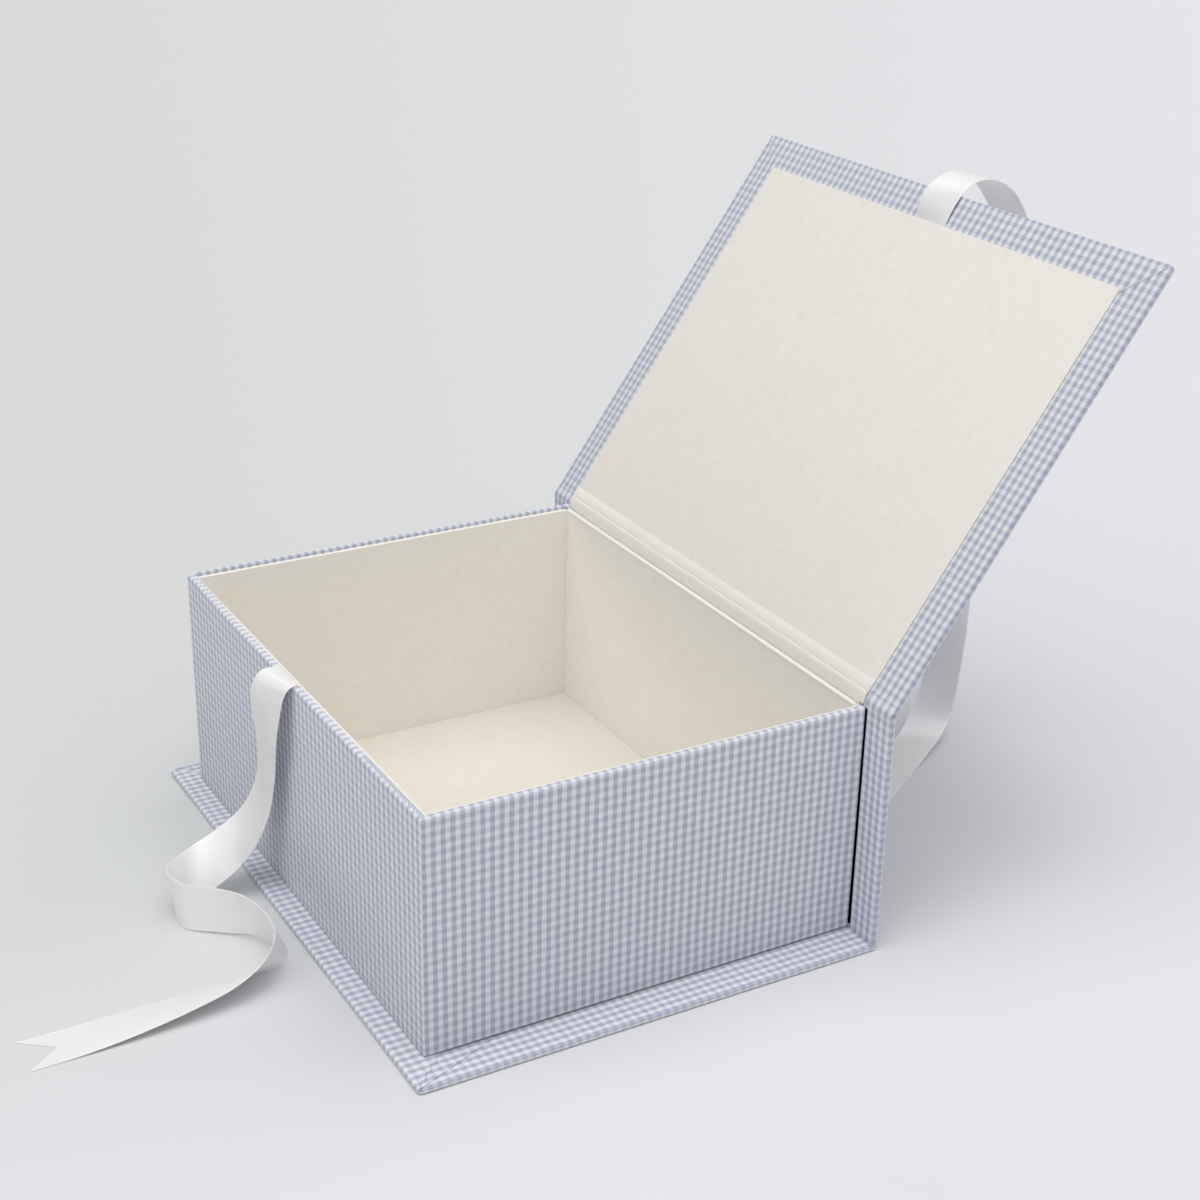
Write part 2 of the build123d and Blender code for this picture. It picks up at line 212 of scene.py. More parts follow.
def woven_gingham():
    """Blue and white cotton, plain woven from stripes of dyed yarn and glued down flat.

    Where two blue stripes cross it is deepest, and the warp shows more than the weft. Each
    stripe is half a check wide, with yarn by yarn unevenness drawn a little coarser than real."""
    material, tree, shader = new_material("woven cotton gingham", Roughness=0.86)
    cloth = add(tree, "UVMap", {}, uv_map="Cloth").outputs["UV"]
    # The stripes waver a little, as the cloth was pulled in gluing
    waver = add(tree, "TexNoise", {"Vector": cloth, "Scale": 0.07, "Detail": 3.0, "Roughness": 0.6})
    half = (0.5, 0.5, 0.5)
    level = add(tree, "VectorMath", {0: waver.outputs["Color"], 1: half}, operation="SUBTRACT")
    drift = add(tree, "VectorMath", {0: level.outputs[0], "Scale": 0.8}, operation="SCALE")
    laid = add(tree, "VectorMath", {0: cloth, 1: drift.outputs[0]}, operation="ADD")
    turns = 2 * math.pi / CHECK
    phase = add(tree, "VectorMath", {0: laid.outputs[0], 1: (turns, turns, 0)}, operation="MULTIPLY")
    wave = add(tree, "VectorMath", {0: phase.outputs[0]}, operation="COSINE")
    split = add(tree, "SeparateXYZ", {0: wave.outputs[0]})
    stripes = []
    for axis in ("X", "Y"):
        edges = {"Value": split.outputs[axis], "From Min": 0.22, "From Max": -0.22}
        stripe = add(tree, "MapRange", edges, interpolation_type="SMOOTHSTEP")
        stripes.append(stripe.outputs["Result"])
    yarns = []
    for across, along in (((1.7, 0.12, 0), "warp"), ((0.12, 1.7, 0), "weft")):
        run = add(tree, "VectorMath", {0: cloth, 1: across}, operation="MULTIPLY")
        noise = {"Vector": run.outputs[0], "Scale": 1.0, "Detail": 2.0}
        yarns.append(add(tree, "TexNoise", noise, label=along).outputs["Fac"])
    shade = 0.0
    for part, weight in ((stripes[0], 0.645), (stripes[1], 0.355), (yarns[0], 0.34), (yarns[1], 0.30)):
        shade = add(tree, "Math", {0: part, 1: weight, 2: shade}, operation="MULTIPLY_ADD").outputs[0]
    depth = add(tree, "MapRange", {"Value": shade, "From Min": 0.32, "From Max": 1.32})
    mix = add(tree, "Mix", {"Factor": depth.outputs["Result"]}, data_type="RGBA")
    # White yarn over white, and blue over blue
    mix.inputs["A"].default_value = colour("ECECF0")
    mix.inputs["B"].default_value = colour("ACB4C8")
    tree.links.new(mix.outputs["Result"], shader.inputs["Base Color"])
    # Threads 0.35 mm apart
    woven_relief(tree, shader, cloth, 9.0, yarns[0], 2.0, 0.35)
    shader.inputs["Sheen Weight"].default_value = 0.15
    shader.inputs["Sheen Roughness"].default_value = 0.6
    shader.inputs["Specular IOR Level"].default_value = 0.25
    return material


def cut(piece, point, normal, keep=False):
    """Cuts a piece through a point. The side that the normal points to goes, unless keep."""
    pick(piece, "FACE", lambda middle, facing: True)
    place = [c * MM for c in point]
    bpy.ops.mesh.bisect(plane_co=place, plane_no=normal, use_fill=not keep, clear_outer=not keep)
    bpy.ops.object.mode_set(mode="OBJECT")


def carve(piece, low, high, turn=0.0, about=(0, 0, 0)):
    """Takes a block out of a piece, the block turned about the vertical through a point."""
    cutter = block("cutter", low, high)
    post = Matrix.Translation(Vector(about) * MM)
    cutter.data.transform(post @ Matrix.Rotation(turn, 4, "Z") @ post.inverted())
    hollow = piece.modifiers.new("hollow", "BOOLEAN")
    hollow.operation = "DIFFERENCE"
    hollow.solver = "EXACT"
    hollow.object = cutter
    bpy.context.view_layer.objects.active = piece
    bpy.ops.object.modifier_apply(modifier=hollow.name)
    bpy.data.objects.remove(cutter)


def carve_ends(piece, low, high, turn=0.0, about=(0, 0, 0)):
    """Takes a block out of a piece's right end, and its mirror image out of the left end."""
    carve(piece, low, high, turn, about)
    carve(piece, (-high[0], *low[1:]), (-low[0], *high[1:]), -turn, (-about[0], *about[1:]))


def lay_cloth(piece, chart):
    """Lays cloth on a piece: chart gives, for a face, where on the flat cloth its points lie."""
    layer = piece.data.uv_layers.get("Cloth") or piece.data.uv_layers.new(name="Cloth")
    piece.data.uv_layers.active = layer
    for face in piece.data.polygons:
        spread = chart(face.center / MM, face.normal)
        for loop in face.loop_indices:
            corner = piece.data.vertices[piece.data.loops[loop].vertex_index].co / MM
            layer.data[loop].uv = spread(corner)


def past_edge(inward, down, radius):
    """How far past an edge a point of the cloth lies, along the cloth over the rounded edge."""
    if inward >= radius:
        return -inward
    if down >= radius:
        return radius * (math.pi / 2 - 2) + down
    return radius * math.atan2(radius - inward, radius - down) - radius


def on_cloth(place, stripe):
    """How far a place lies along the flat cloth. stripe is a white one's middle and the check."""
    return (place - stripe[0]) * CHECK / stripe[1]


def case_chart(top, across, along, skew=0.0, front=CASE_FRONT, back=CASE_BACK):
    """Cloth turned in over a flat board, the warp running front to back.

    across and along are its stripes for X and Y. skew is how far the weft runs off square from
    the right edge to the left."""

    def chart(middle, facing):
        over_side = abs(facing.x) > abs(facing.y) and abs(facing.z) < 0.999
        over_end = abs(facing.y) >= abs(facing.x) and abs(facing.z) < 0.999

        def spread(p):
            x, y = p.x, p.y
            down = abs(top - p.z)
            if over_side:
                x = math.copysign(CASE_SIDE + past_edge(CASE_SIDE - abs(x), down, EDGE_RADIUS), x)
            if over_end and middle.y < 0:
                y = front - past_edge(y - front, down, EDGE_RADIUS)
            if over_end and middle.y > 0:
                y = back + past_edge(back - y, down, EDGE_RADIUS)
            y -= skew * (CASE_SIDE - x) / (2 * CASE_SIDE)
            return (on_cloth(x, across), on_cloth(y, along))

        return spread

    return chart


def join(name, pieces):
    """Joins pieces into one."""
    bpy.ops.object.select_all(action="DESELECT")
    for piece in pieces:
        piece.select_set(True)
    bpy.context.view_layer.objects.active = pieces[0]
    bpy.ops.object.join()
    pieces[0].name = name
    return pieces[0]


gingham = woven_gingham()
wrap_chart = case_chart(LEDGE, (159.8, 4.9), (-74.08, 5.01))
base_wrap = block("base_wrap", (BASE_LEFT, CASE_FRONT, BASE_FOOT), (BASE_RIGHT, CASE_BACK, LEDGE))
round_edges(base_wrap, CORNER_RADIUS, lambda middle, along: abs(along.z) > 0.9, 6)
round_edges(base_wrap, EDGE_RADIUS, lambda middle, along: middle.z > LEDGE - 0.1)
round_edges(base_wrap, 0.25, lambda middle, along: middle.z < BASE_FOOT + 0.1, 3)
# A slit along each mitre, wider and deeper in the board under it
mitre = math.atan2(MITRE_IN, MITRE_BACK)
for piece, more in ((base_wrap, 0), (bpy.data.objects["base_greyboard"], 0.6)):
    low = (CASE_SIDE - more, -136.0, 2.2 - more)
    high = (BASE_RIGHT + more, -80.0, 4.0)
    carve_ends(piece, low, high, mitre, (CASE_SIDE, CASE_FRONT, 0))
lay_cloth(base_wrap, wrap_chart)
underside = block("underside", (-173.5, -128.9, 0.0), (173.5, 128.9, 0.9))
lay_cloth(underside, wrap_chart)
turn_in_chart = case_chart(TURN_IN_TOP, (0.27, 5.18), (-132.1, 5.21))
low, high = (BASE_LEFT - SKIN, CASE_FRONT - SKIN, 1.7), (BASE_RIGHT + SKIN, -40.0, TURN_IN_TOP)
base_turn_in = block("base_turn_in", low, high)
round_edges(base_turn_in, CORNER_RADIUS, lambda middle, along: abs(along.z) > 0.9 and middle.y < -50, 6)
round_edges(base_turn_in, EDGE_RADIUS, lambda middle, along: middle.z > TURN_IN_TOP - 0.1 and middle.y < -50)
for side in (-1, 1):
    cut(base_turn_in, (side * CASE_SIDE, CASE_FRONT, TURN_IN_TOP), (side * MITRE_BACK, MITRE_IN, -6.0))
lay_cloth(base_turn_in, turn_in_chart)
# The dark gap under the tray's foot ends at this block, well back from the front
under_tray = block("under_tray", (-154.0, -117.5, 3.0), (154.0, -84.0, 4.6))
lay_cloth(under_tray, turn_in_chart)
base_cloth = join("base_gingham", [base_wrap, underside, base_turn_in, under_tray])
finish(base_cloth, gingham, "box", "base_cloth")

# Spine
# The same sheet runs on up the back over the spine board, which stands on the base and is glued
# to the tray's back. Its ends and the two ledges beside the tray are the cloth turned in, and it
# dips a little into the joint between the two boards.
SPINE_FRONT, SPINE_TOP = 129.1, 137.2
SPINE_ACROSS, SPINE_UP = (165.28, 5.2), (13.19, 5.1)


def spine_chart(middle, facing):
    """Cloth over the upright spine, the warp running up."""
    over_end = abs(facing.x) > abs(facing.y)

    def spread(p):
        x = p.x
        if over_end:
            inward = CASE_SIDE - abs(x)
            x = math.copysign(CASE_SIDE + past_edge(inward, p.y - SPINE_FRONT, EDGE_RADIUS), x)
        return (on_cloth(x, SPINE_ACROSS), on_cloth(p.z, SPINE_UP))

    return spread


spine_wrap = block("spine_wrap", (-CASE_SIDE, SPINE_FRONT, 3.2), (CASE_SIDE, CASE_BACK, SPINE_TOP))
round_edges(spine_wrap, EDGE_RADIUS, lambda middle, along: True)
for piece in (spine_wrap, bpy.data.objects["spine_greyboard"]):
    # The deep gap behind the tray's back corners, and the hollow at the hinge's ends
    carve_ends(piece, (152.0, 128.0, 5.5), (158.3, 131.6, 134.6))
    carve_ends(piece, (168.0, 129.8, 136.2), (176.9, 132.4, 140.0))
joint_cloth = block("joint_cloth", (-176.9, 130.5, 2.2), (176.9, 132.6, 4.6))
round_edges(joint_cloth, 0.4, lambda middle, along: True, 2)
spine_cloth = join("spine_gingham", [spine_wrap, joint_cloth])
lay_cloth(spine_cloth, spine_chart)
finish(spine_cloth, gingham, "box", "spine_cloth")

# Tray
# One strip of gingham goes round the tray's four walls, its warp upright. It is glued round the
# corners, turned in over the top edges, and covered inside by the linings. It stands a hair
# above the ledges, which leaves a thin dark gap at its foot.
TRAY_SIDE, TRAY_LEFT, TRAY_FRONT, TRAY_BACK = 157.5, 159.3, -120.9, 129.0
TRAY_FOOT, TRAY_TOP, TRAY_RADIUS = 4.7, 135.3, 1.3
HOLLOW_LEFT, HOLLOW_RIGHT, HOLLOW_FRONT, HOLLOW_BACK = -155.6, 154.2, -116.9, 125.8


def wall_chart(middle, facing):
    """Cloth round the tray: across it along the walls, along it up and over the top edges."""
    edge = TRAY_SIDE if middle.x > 0 else TRAY_LEFT
    gap_x = edge - abs(middle.x)
    gap_y = min(middle.y - TRAY_FRONT, TRAY_BACK - middle.y)
    side_wall = gap_x < gap_y
    left_rim = side_wall and middle.x < 0

    def round_corner(inward, sideways):
        """The cloth is eased round the upright corners, so that its checks meet there."""
        return 1.68 * (past_edge(inward, sideways, TRAY_RADIUS) + TRAY_RADIUS) - TRAY_RADIUS

    def spread(p):
        inward_x = edge - abs(p.x)
        inward_y = min(p.y - TRAY_FRONT, TRAY_BACK - p.y)
        over = min(inward_x, inward_y)
        up = p.z
        if up > TRAY_TOP - 2:
            up = past_edge(TRAY_TOP - p.z, over, TRAY_RADIUS)
            if up > 0:
                # Eased over the rim. On the left one the last white stripe stays white.
                up = max(up - 1.4, 0) * 0.8 if left_rim else up * 0.45
            up += TRAY_TOP
        if side_wall:
            y = p.y
            if inward_y < TRAY_RADIUS and y < 0:
                y = TRAY_FRONT - round_corner(inward_y, inward_x)
            return (on_cloth(y, (-111.7, 5.06)), on_cloth(up, (10.76, 5.373)))
        x = p.x
        if inward_x < TRAY_RADIUS:
            x = math.copysign(edge + round_corner(inward_x, inward_y), x)
        # The left part of the front wall's cloth is pulled half a check along
        x -= 2.6 * min(max((40 - x) / 100, 0), 1)
        return (on_cloth(x, (-57.7, 5.377)), on_cloth(up, (10.24, 5.215)))

    return spread


tray_cloth = block("tray_gingham", (-TRAY_LEFT, TRAY_FRONT, TRAY_FOOT), (TRAY_SIDE, TRAY_BACK, TRAY_TOP))
round_edges(tray_cloth, TRAY_RADIUS, lambda middle, along: abs(along.z) > 0.9)
round_edges(tray_cloth, TRAY_RADIUS - 0.05, lambda middle, along: middle.z > TRAY_TOP - 0.1)
round_edges(tray_cloth, 0.3, lambda middle, along: middle.z < TRAY_FOOT + 0.1, 3)
carve(tray_cloth, (HOLLOW_LEFT, HOLLOW_FRONT, 6.6), (HOLLOW_RIGHT, HOLLOW_BACK, 140.0))
# The hinge's lining covers the back wall's rim
carve(tray_cloth, (-152.2, 125.0, 133.4), (152.2, 130.0, 140.0))


def inner_rim(middle, along):
    """The top edges of the hollow, but for the back one, which the hinge's lining covers."""
    within_x = HOLLOW_LEFT - 0.1 < middle.x < HOLLOW_RIGHT + 0.1
    within_y = HOLLOW_FRONT - 0.1 < middle.y < HOLLOW_BACK - 0.1
    return middle.z > TRAY_TOP - 0.1 and within_x and within_y


round_edges(tray_cloth, 0.5, inner_rim, 3)
# A cut across each corner keeps the faces of two walls apart, for the chart
for wall_x, side in ((-TRAY_LEFT, -1), (TRAY_SIDE, 1)):
    cut(tray_cloth, (wall_x, TRAY_FRONT, 0), (side, 1, 0), keep=True)
    cut(tray_cloth, (wall_x, TRAY_BACK, 0), (side, -1, 0), keep=True)
lay_cloth(tray_cloth, wall_chart)
# The walls lean in at the foot, and the left one's rim stands a little higher
for corner in tray_cloth.data.vertices:
    if corner.co.z < 6 * MM:
        corner.co.x -= 0.7 * MM * (corner.co.x > 0)
        corner.co.y += 0.5 * MM * (corner.co.y < 0)
    if corner.co.z > 133 * MM and corner.co.x < -155 * MM:
        corner.co.z += 1.6 * MM
finish(tray_cloth, gingham, "box", "tray_cloth")

# Linings of the tray
# Each wall and the floor has a card covered with plain cream book cloth, glued in last. The cloth
# is folded over the card's top edge, which shows as a pale line just under the gingham's rim.


def cream_book_cloth(name, deep, pale):
    """Plain woven linen-look rayon on paper: matt cream, with slubs where a yarn is thicker."""
    material, tree, shader = new_material(name, Roughness=0.8)
    cloth = add(tree, "UVMap", {}, uv_map="Cloth").outputs["UV"]
    yarns = []
    for across in ((1.9, 0.09, 0), (0.09, 1.9, 0)):
        run = add(tree, "VectorMath", {0: cloth, 1: across}, operation="MULTIPLY")
        noise = {"Vector": run.outputs[0], "Scale": 1.0, "Detail": 3.0}
        yarns.append(add(tree, "TexNoise", noise).outputs["Fac"])
    slubs = add(tree, "Math", {0: yarns[0], 1: yarns[1]}, operation="ADD").outputs[0]
    cloud = add(tree, "TexNoise", {"Vector": cloth, "Scale": 0.03, "Detail": 3.0})
    tone = add(tree, "Math", {0: cloud.outputs["Fac"], 1: 0.15, 2: slubs}, operation="MULTIPLY_ADD")
    light = add(tree, "MapRange", {"Value": tone.outputs[0], "From Min": 0.75, "From Max": 1.4})
    mix = add(tree, "Mix", {"Factor": light.outputs["Result"]}, data_type="RGBA")
    mix.inputs["A"].default_value = colour(deep)
    mix.inputs["B"].default_value = colour(pale)
    tree.links.new(mix.outputs["Result"], shader.inputs["Base Color"])
    # Threads 0.42 mm apart
    woven_relief(tree, shader, cloth, 7.5, slubs, 2.5, 0.4)
    shader.inputs["Sheen Weight"].default_value = 0.1
    shader.inputs["Specular IOR Level"].default_value = 0.3
    return material


def flat_chart(middle, facing):
    """Plain cloth laid flat on whichever way a face looks."""

    def spread(p):
        if abs(facing.x) > max(abs(facing.y), abs(facing.z)):
            return (p.y + middle.x, p.z)
        if abs(facing.y) > abs(facing.z):
            return (p.x + middle.y, p.z)
        return (p.x, p.y + 40)

    return spread


book_cloth = cream_book_cloth("cream book cloth", "EFEAE1", "F9F6F0")
# Painted shade: the floor's lining cloth is drawn darker than the walls', for the light that the tray's
# walls keep off its floor
floor_book_cloth_painted_shade = cream_book_cloth("cream book cloth with painted shade", "DFDACF", "E9E5DC")
lining_card = pressed_fibre("pressed white card", "CFCBC2", "E2DFD7")
for wall in ("front", "back", "left", "right", "floor"):
    low, high = (tuple(c / MM for c in corner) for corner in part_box("lining_" + wall + "_cloth"))
    # Thicker on the left and in front, as the rims are there
    low = (low[0] - 1.3, low[1], low[2]) if wall == "left" else low
    high = (high[0], high[1] + 0.8, high[2]) if wall == "front" else high
    lining = block("lining_" + wall, low, high)
    round_edges(lining, 0.3, lambda middle, along: middle.z > high[2] - 0.1, 3)
    lay_cloth(lining, flat_chart)
    cover = floor_book_cloth_painted_shade if wall == "floor" else book_cloth
    finish(lining, cover, "box", "lining_" + wall + "_cloth")
    card = frame["nodes"]["lining_" + wall + "_card"]
    card.data.materials.clear()
    card.data.materials.append(lining_card)

# Lid
# A board as wide as the base, in the same gingham sheet, the warp running from hinge to front.
# Its sides are turned in first and its front last, with square mitres at the corners. It is made
# closed and then turned back about the hinge to where it leans.
LID_OUTER, LID_INNER, LID_SIDE = 140.8, 137.0, 137.32
LID_FRONT, LID_BACK = -132.9, 127.6
LID_LEAN = 125.4
hinge = frame["joints"][0]
hinge_point = Vector(hinge["pos_m"])
lid_turn = Matrix.Rotation(math.radians(-LID_LEAN), 4, "X")
open_turn = Matrix.Translation(hinge_point) @ lid_turn @ Matrix.Translation(-hinge_point)


def open_lid(piece):
    """Turns a piece of the closed lid back with it."""
    bpy.ops.object.select_all(action="DESELECT")
    piece.select_set(True)
    bpy.context.view_layer.objects.active = piece
    piece.matrix_world = open_turn @ piece.matrix_world
    bpy.ops.object.transform_apply(location=True, rotation=True, scale=True)


low, high = (-CASE_SIDE + 0.7, LID_FRONT + 0.7, 137.7), (CASE_SIDE - 0.7, LID_BACK - 0.7, 140.2)
lid_greyboard = block("lid_greyboard", low, high)
round_edges(lid_greyboard, PRESSED_EDGE, lambda middle, along: True, 2)
open_lid(lid_greyboard)
finish(lid_greyboard, greyboard, "lid", "lid_board")

lid_wrap = block("lid_wrap", (-CASE_SIDE, LID_FRONT, LID_SIDE), (CASE_SIDE, LID_BACK, LID_OUTER))
round_edges(lid_wrap, CORNER_RADIUS, lambda middle, along: abs(along.z) > 0.9 and middle.y < 0, 6)
round_edges(lid_wrap, EDGE_RADIUS, lambda middle, along: abs(along.z) < 0.1 or middle.y > 127)
frame_chart = case_chart(LID_SIDE, (160.7, 4.9), (LID_BACK - 10.29, 5.14), 1.4, LID_FRONT, LID_BACK)
lay_cloth(lid_wrap, frame_chart)
low, high = (-CASE_SIDE - SKIN, LID_FRONT - SKIN, LID_INNER), (CASE_SIDE + SKIN, -90.0, 139.0)
lid_turn_in = block("lid_turn_in", low, high)
round_edges(lid_turn_in, CORNER_RADIUS, lambda middle, along: abs(along.z) > 0.9 and middle.y < -100, 6)
round_edges(lid_turn_in, EDGE_RADIUS, lambda middle, along: middle.z < 138 and middle.y < -100)
for side in (-1, 1):
    cut(lid_turn_in, (side * CASE_SIDE, LID_FRONT, LID_INNER), (side, 1, 0.6))
front_chart = case_chart(LID_INNER, (20.92, 5.565), (LID_BACK - 241.54, 5.2), 0.0, LID_FRONT, LID_BACK)
lay_cloth(lid_turn_in, front_chart)
lid_cloth = join("lid_gingham", [lid_wrap, lid_turn_in])
open_lid(lid_cloth)
# The lid's back corners are let in for the slits at the hinge's ends
carve_ends(lid_cloth, (174.0, 131.0, 137.6), (178.0, 134.0, 138.4))
finish(lid_cloth, gingham, "lid", "lid_cloth")

# Lid liner
# A card covered with the cream cloth and glued inside the lid's turn-ins. It stands its own
# thickness above the gingham and rests on the tray's walls when the lid is shut.
liner_face = block("liner_face", (-155.5, -113.4, 136.15), (155.5, 125.1, 136.65))
round_edges(liner_face, 0.3, lambda middle, along: middle.z < 136.2, 3)
liner_back = block("liner_back", (-154.9, -113.2, 136.6), (154.9, 125.1, 137.4))
liner = join("lid_liner", [liner_face, liner_back])
lay_cloth(liner, flat_chart)
open_lid(liner)
finish(liner, book_cloth, "lid", "lid_liner_cloth")
liner_card = block("liner_card", (-154.6, -113.0, 136.7), (154.6, 124.8, 137.0))
open_lid(liner_card)
finish(liner_card, lining_card, "lid", "lid_liner_card")

# Hinge
# Between spine and lid the case is bare cloth. Outside, the gingham folds inwards between their
# edges while the lid is open, and beside the tray it is turned in from one to the other. Inside,
# a strip of cream cloth runs from the tray's back wall over the joint to the liner.
HINGE_SIDE, LINING_SIDE, LINING_FOOT, LINING_THICKNESS = 177.45, 155.5, 152.1, 0.35


def lid_place(from_back, below_inner):
    """(y, z) of a point on the open lid, in millimetres."""
    closed = Vector((0, (LID_BACK - from_back) * MM, (LID_INNER - below_inner) * MM))
    opened = open_turn @ closed
    return (opened.y / MM, opened.z / MM)


def strip(name, section, x0, x1, chart):
    """A strip of cloth along X with this closed section, its points going round clockwise."""
    verts = [(x0 * MM, y * MM, z * MM) for y, z in section]
    mesh = bpy.data.meshes.new(name)
    mesh.from_pydata(verts, [], [list(range(len(verts)))])
    piece = bpy.data.objects.new(name, mesh)
    bpy.context.collection.objects.link(piece)
    pick(piece, "FACE", lambda middle, facing: True)
    bpy.ops.mesh.extrude_region_move(TRANSFORM_OT_translate={"value": ((x1 - x0) * MM, 0, 0)})
    bpy.ops.mesh.select_all(action="SELECT")
    bpy.ops.mesh.normals_make_consistent(inside=False)
    bpy.ops.object.mode_set(mode="OBJECT")
    lay_cloth(piece, chart)
    return piece


def thickened(points, thickness):
    """The section of a cloth whose outer face follows points, its body on their left."""
    line = [Vector(point) for point in points]
    runs = [(b - a).normalized() for a, b in zip(line, line[1:])]
    rim = []
    for point, before, after in zip(line, runs[:1] + runs, runs + runs[-1:]):
        middle = (before + after).normalized()
        side = Vector((-middle.y, middle.x))
        rim.append(point + side * (thickness / side.dot(Vector((-before.y, before.x)))))
    return line + rim[::-1]


def eased(points, count=4):
    """More points along a smooth curve through points."""
    line = [Vector(point) for point in points]
    line = [line[0] * 2 - line[1]] + line + [line[-1] * 2 - line[-2]]
    curve = []
    for a, b, c, d in zip(line, line[1:], line[2:], line[3:]):
        for i in range(count):
            t = i / count
            square, cube = a * 2 - b * 5 + c * 4 - d, b * 3 - a - c * 3 + d
            curve.append(b + ((c - a) * t + square * t**2 + cube * t**3) / 2)
    return curve + [line[-2]]


def hinge_chart(middle, facing):
    """Gingham across the joint, continuing the spine's."""

    def spread(p):
        return (on_cloth(p.x, SPINE_ACROSS), on_cloth(p.z, SPINE_UP))

    return spread


turned_in = [(129.08, 134.5), (129.08, 136.4), (129.45, 138.4)]
bend = eased(turned_in + [lid_place(1.0, -0.3), lid_place(4.0, -0.31)])
fold = [lid_place(4.0, -1.2), lid_place(0.4, -1.6), lid_place(0.1, -3.3)]
tuck = [(132.75, 137.6), (132.4, 136.9), (130.0, 136.0), (130.0, 134.5)]
hinge_cloth = strip("hinge_gingham", bend + fold + tuck, -HINGE_SIDE, HINGE_SIDE, hinge_chart)
# Each end is hollow, and a thin slit under the lid's back corner leads into it
carve_ends(hinge_cloth, (168.0, 129.8, 136.2), (176.9, 132.5, 138.4))
carve_ends(hinge_cloth, (176.6, 129.2, 137.75), (178.0, 134.0, 138.4))
finish(hinge_cloth, gingham, None, "hinge_cloth")
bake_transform(hinge_cloth)

# From the tray's back wall down into a crease, up the spine's edge and on to the liner's edge
creases = eased(
    [
        (124.9, 134.4),
        (125.1, 135.1),
        (126.2, 135.3),
        (126.9, 135.1),
        (127.2, 134.2),
        (127.6, 133.2),
        (128.2, 134.2),
        (128.4, 135.0),
        (128.35, 135.8),
        (128.5, 136.6),
        (128.75, 137.6),
        (129.0, 138.6),
        (129.3, 139.6),
        (129.65, 140.7),
        (130.2, 141.8),
        (130.95, 142.6),
        lid_place(3.4, 0.95),
        lid_place(4.6, 1.02),
        lid_place(6.5, 0.95),
        lid_place(9.0, 0.5),
    ]
)
section = thickened(creases, LINING_THICKNESS)
hinge_lining = strip("hinge_lining_cloth", section, -LINING_SIDE, LINING_SIDE, flat_chart)
# Its foot is cut narrower, to go down between the tray's side walls
for corner in hinge_lining.data.vertices:
    if corner.co.z < 136.3 * MM:
        corner.co.x = math.copysign(LINING_FOOT * MM, corner.co.x)
finish(hinge_lining, book_cloth, None, "hinge_lining")
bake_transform(hinge_lining)

# Ribbon ties
# White double-faced satin ribbon, 26 mm wide, its cut ends notched to swallowtails. One end of
# each is glued in behind a lining. They hang, turn and lie as they fell when the box was opened.
RIBBON_WIDTH, RIBBON_THICKNESS, NOTCH = 26.0, 0.3, 17.0


def satin():
    """Polyester satin: long floats along the ribbon give soft bands of light across it."""
    material, tree, shader = new_material("white satin ribbon", Roughness=0.4, Anisotropic=0.95, IOR=2.2)
    cloth = add(tree, "UVMap", {}, uv_map="Cloth").outputs["UV"]
    run = add(tree, "VectorMath", {0: cloth, 1: (3.0, 0.25, 0)}, operation="MULTIPLY")
    picks = add(tree, "TexNoise", {"Vector": run.outputs[0], "Scale": 1.0, "Detail": 2.0})
    mix = add(tree, "Mix", {"Factor": picks.outputs["Fac"]}, data_type="RGBA")
    mix.inputs["A"].default_value = colour("F1EFEE")
    mix.inputs["B"].default_value = colour("F6F5F4")
    # Painted highlight: the woven edges, under a millimetre wide, are drawn whiter, for the light their
    # thicker, rounder rims catch
    place = add(tree, "SeparateXYZ", {0: cloth})
    off = add(tree, "Math", {0: place.outputs["X"]}, operation="ABSOLUTE")
    edge_highlight_band = add(tree, "MapRange", {"Value": off.outputs[0], "From Min": 12.1, "From Max": 12.4})
    sides = {"Factor": edge_highlight_band.outputs["Result"], "A": mix.outputs["Result"]}
    edged = add(tree, "Mix", sides, data_type="RGBA")
    edged.inputs["B"].default_value = colour("FEFEFE")
    tree.links.new(edged.outputs["Result"], shader.inputs["Base Color"])
    bump = add(tree, "Bump", {"Height": picks.outputs["Fac"], "Strength": 0.15, "Distance": 0.00005})
    tree.links.new(bump.outputs["Normal"], shader.inputs["Normal"])
    across = add(tree, "Tangent", {}, direction_type="UV_MAP", uv_map="Cloth")
    tree.links.new(across.outputs["Tangent"], shader.inputs["Tangent"])
    shader.inputs["Specular IOR Level"].default_value = 0.7
    shader.inputs["Subsurface Weight"].default_value = 0.5
    shader.inputs["Subsurface Radius"].default_value = (1.0, 1.0, 1.0)
    shader.inputs["Subsurface Scale"].default_value = 0.001
    shader.inputs["Sheen Weight"].default_value = 0.1
    return material


def smooth_course(stations, spacing):
    """Centre points and cross directions along a ribbon, evenly eased through its stations."""
    centres = [Vector(c) for c, w in stations]
    acrosses = [Vector(w).normalized() for c, w in stations]
    reach = [0.0]
    for a, b in zip(centres, centres[1:]):
        reach.append(reach[-1] + (b - a).length)

    def slope(values, i):
        if i == 0:
            return (values[1] - values[0]) / (reach[1] - reach[0])
        if i == len(values) - 1:
            return (values[-1] - values[-2]) / (reach[-1] - reach[-2])
        h0, h1 = reach[i] - reach[i - 1], reach[i + 1] - reach[i]
        before, after = (values[i] - values[i - 1]) / h0, (values[i + 1] - values[i]) / h1
        return (before * h1 + after * h0) / (h0 + h1)

    course = []
    for i in range(len(stations) - 1):
        h = reach[i + 1] - reach[i]
        count = max(1, round(h / spacing))
        for k in range(count + (i == len(stations) - 2)):
            t = k / count
            # The weights of a cubic's start, slope there, end and slope there
            a, b, c, d = 2 * t**3 - 3 * t**2 + 1, t**3 - 2 * t**2 + t, 3 * t**2 - 2 * t**3, t**3 - t**2
            point, across = [
                v[i] * a + slope(v, i) * (b * h) + v[i + 1] * c + slope(v, i + 1) * (d * h)
                for v in (centres, acrosses)
            ]
            course.append((point, across.normalized()))
    return course


